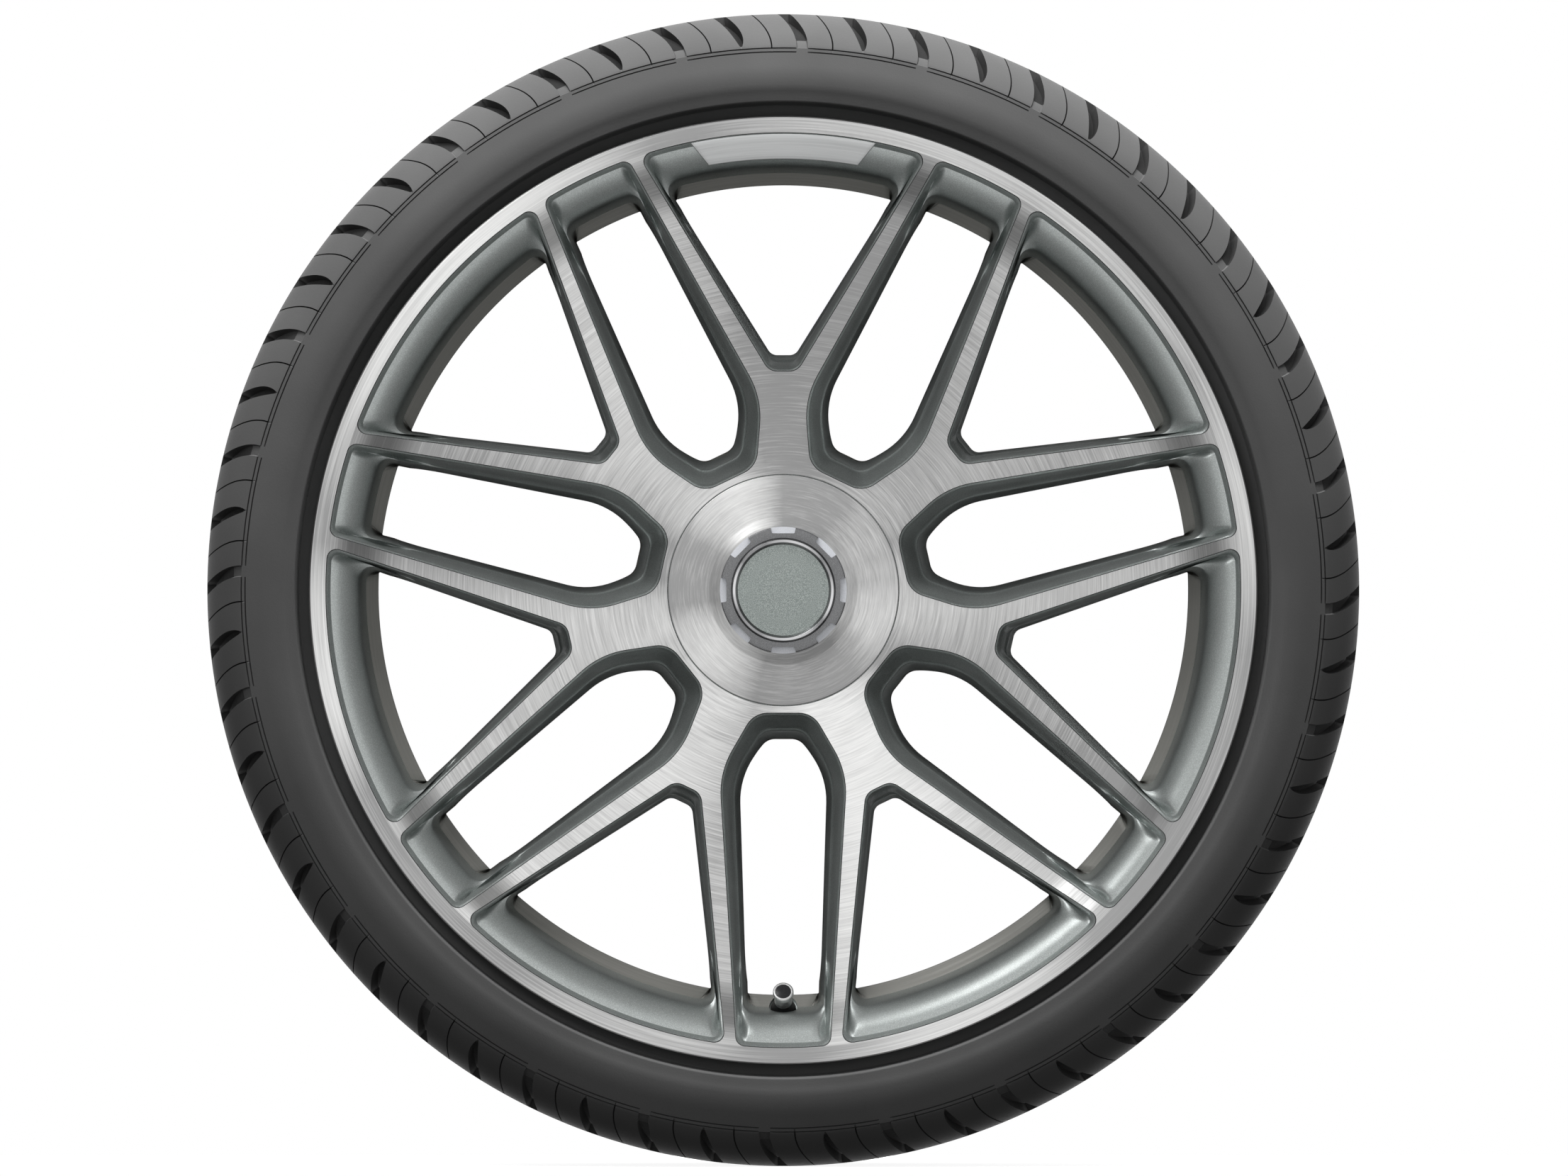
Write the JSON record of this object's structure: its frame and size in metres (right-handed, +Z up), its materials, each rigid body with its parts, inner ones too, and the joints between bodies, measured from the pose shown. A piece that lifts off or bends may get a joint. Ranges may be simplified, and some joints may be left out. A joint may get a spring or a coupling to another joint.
{
  "type": "forged car wheel with tyre",
  "caption": "Forged car wheel with forked spokes and a low-profile tyre, screw-capped valve with pressure sensor, and a round pull-off hub cap with a notched ring.",
  "frame": {"origin": "middle of the rim's width on the wheel's axis", "axes": "+Y along the axis towards the car, +Z up with the valve at the bottom, +X right seen from the front"},
  "size_m": [0.6984, 0.277, 0.6982],
  "materials": {
    "turned_aluminium": "front face turned to fine circular lines under clear lacquer, flanks and barrel painted titanium grey",
    "tyre_rubber": "matte black, slightly grey",
    "black_rubber": "matte black",
    "brass": "turned brass, slightly dull",
    "spring_steel": "bright wire",
    "satin_metal": "satin silver with a bright edge",
    "black_inlay": "gloss black",
    "black_plastic": "fine moulded grain",
    "cover_silver": "silver paint, satin",
    "ring_grey": "grey metallic paint",
    "bright_chrome": "bright plated",
    "badge_metal": "grey-green metallic paint under a clear coat"
  },
  "bodies": {
    "wheel": {"rim_hub": "turned_aluminium", "rim_barrel": "turned_aluminium", "rim_spoke_1": "turned_aluminium", "rim_spoke_2": "turned_aluminium", "rim_spoke_3": "turned_aluminium", "rim_spoke_4": "turned_aluminium", "rim_spoke_5": "turned_aluminium", "rim_spoke_6": "turned_aluminium", "rim_spoke_7": "turned_aluminium", "rim_lip_1": "turned_aluminium", "rim_lip_2": "turned_aluminium", "rim_lip_3": "turned_aluminium", "rim_lip_4": "turned_aluminium", "rim_lip_5": "turned_aluminium", "rim_lip_6": "turned_aluminium", "rim_lip_7": "turned_aluminium", "tyre": "tyre_rubber", "valve_grommet": "black_rubber", "valve_stem": "brass", "valve_core_body": "brass", "valve_core_spring": "spring_steel", "sensor_case": "black_plastic", "sensor_lid": "black_plastic", "sensor_screw": "spring_steel"},
    "hub_cap": {"hub_cap_cover": "cover_silver", "hub_cap_carrier": "black_plastic", "hub_cap_spring_ring": "spring_steel", "hub_cap_lock_ring": "ring_grey", "hub_cap_bezel": "bright_chrome", "hub_cap_badge": "badge_metal"},
    "valve_cap_carrier": {"valve_cap_seal": "black_rubber"},
    "valve_cap": {"valve_cap": "satin_metal", "valve_cap_inlay": "black_inlay"},
    "valve_pin": {"valve_core_pin": "brass", "valve_core_seal": "black_rubber"}
  },
  "joints": [
    {"name": "hub_cap_pull", "type": "slide", "parent": "wheel", "child": "hub_cap", "axis": [0, -1, 0], "range_m": [0, 0.04]},
    {"name": "valve_cap_rise", "type": "slide", "parent": "wheel", "child": "valve_cap_carrier", "axis": [0, -0.8746, 0.4848], "range_m": [0, 0.014]},
    {"name": "valve_cap_turn", "type": "hinge", "parent": "valve_cap_carrier", "child": "valve_cap", "pos_m": [0, -0.09325, -0.2547], "axis": [0, -0.8746, 0.4848], "range_deg": [0, 1800]},
    {"name": "valve_pin_press", "type": "slide", "parent": "wheel", "child": "valve_pin", "axis": [0, 0.8746, -0.4848], "range_m": [0, 0.001], "stiffness_N_per_m": 1500, "springref_m": -0.001, "deforming": ["valve_core_spring"]}
  ]
}
